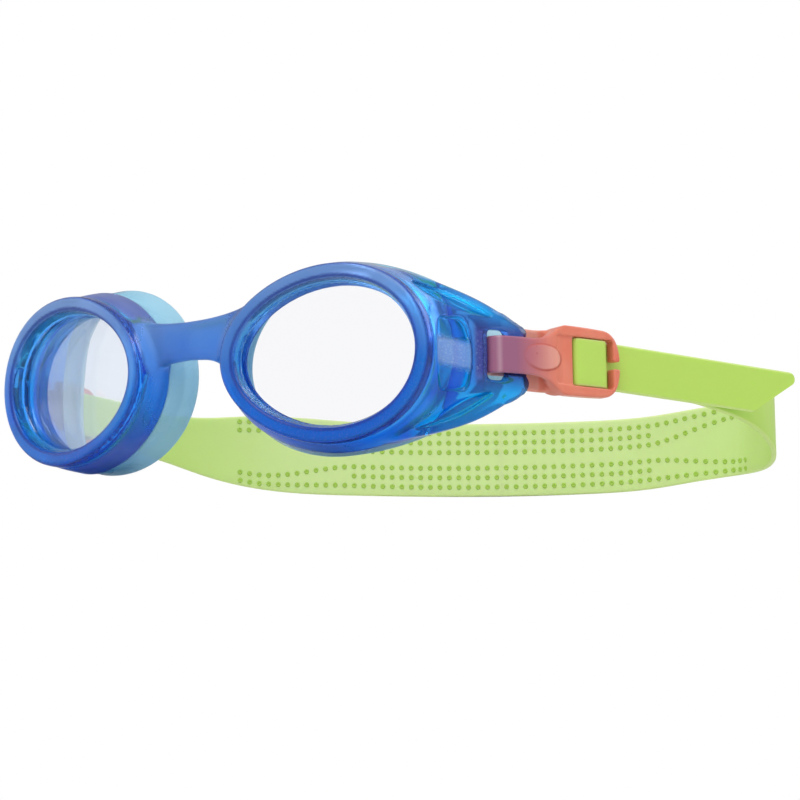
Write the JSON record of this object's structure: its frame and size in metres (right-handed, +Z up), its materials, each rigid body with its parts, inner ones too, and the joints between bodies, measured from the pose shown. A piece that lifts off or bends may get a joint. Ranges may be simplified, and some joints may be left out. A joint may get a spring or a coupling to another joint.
{
  "type": "swim goggles",
  "caption": "Children's swim goggles with a one-piece soft frame, clear lenses, soft gaskets, clip buckles and a wide dotted silicone strap.",
  "frame": {"origin": "middle of the base, on the surface that the goggles stand on", "axes": "+X to the wearer's left, +Y from the lenses back to the strap, +Z up; the lenses face -Y"},
  "size_m": [0.164, 0.1424, 0.0421],
  "materials": {
    "frame_blue": "frosted translucent",
    "lens_clear": "clear polished",
    "gasket_aqua": "satin translucent",
    "buckle_coral": "satin translucent",
    "strap_lime": "satin silicone"
  },
  "bodies": {
    "frame": {"goggle_frame": "frame_blue", "lens_left": "lens_clear", "lens_right": "lens_clear", "gasket_left": "gasket_aqua", "gasket_right": "gasket_aqua", "strap_loop": "strap_lime"},
    "left_clip": {"buckle_left": "buckle_coral", "strap_end_left": "strap_lime"},
    "right_clip": {"buckle_right": "buckle_coral", "strap_end_right": "strap_lime"}
  },
  "joints": [
    {"name": "buckle_left_swivel", "type": "hinge", "parent": "frame", "child": "left_clip", "pos_m": [0.04857, -0.04176, 0.01975], "axis": [0, 0, 1], "range_deg": [-18, 30], "deforming": ["strap_loop"]},
    {"name": "buckle_right_swivel", "type": "hinge", "parent": "frame", "child": "right_clip", "pos_m": [-0.07903, -0.04176, 0.01975], "axis": [0, 0, 1], "range_deg": [-4, 44], "deforming": ["strap_loop"]}
  ]
}
